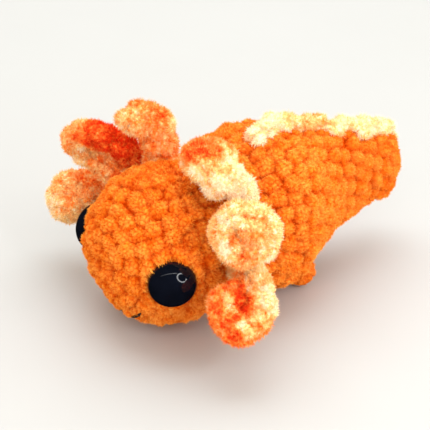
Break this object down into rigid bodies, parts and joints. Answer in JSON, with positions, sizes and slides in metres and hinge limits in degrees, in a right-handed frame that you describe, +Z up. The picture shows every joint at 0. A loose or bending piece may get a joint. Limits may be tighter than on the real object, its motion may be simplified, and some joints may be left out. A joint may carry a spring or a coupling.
{
  "type": "crocheted axolotl toy",
  "caption": "Small stuffed axolotl (a salamander) crocheted in orange chenille yarn, with curled variegated gills and crest.",
  "frame": {"origin": "on the floor, in the middle of the flat under the fullest part of the trunk", "axes": "+Z up from the floor, +Y from the nose towards the tail, +X to the toy's own left side"},
  "size_m": [0.1185, 0.1334, 0.0714],
  "materials": {
    "orange_yarn": "matte",
    "variegated_yarn": "matte",
    "black_eye": "gloss",
    "black_thread": "matte"
  },
  "bodies": {
    "root": {"head": "orange_yarn", "trunk": "orange_yarn", "tail": "orange_yarn", "leg_front_left": "orange_yarn", "leg_front_right": "orange_yarn", "leg_hind_left": "orange_yarn", "leg_hind_right": "orange_yarn", "gill_left_upper": "variegated_yarn", "gill_left_middle": "variegated_yarn", "gill_left_lower": "variegated_yarn", "gill_right_upper": "variegated_yarn", "gill_right_middle": "variegated_yarn", "gill_right_lower": "variegated_yarn", "crest": "variegated_yarn", "eye_left": "black_eye", "eye_right": "black_eye", "mouth": "black_thread"}
  },
  "joints": []
}
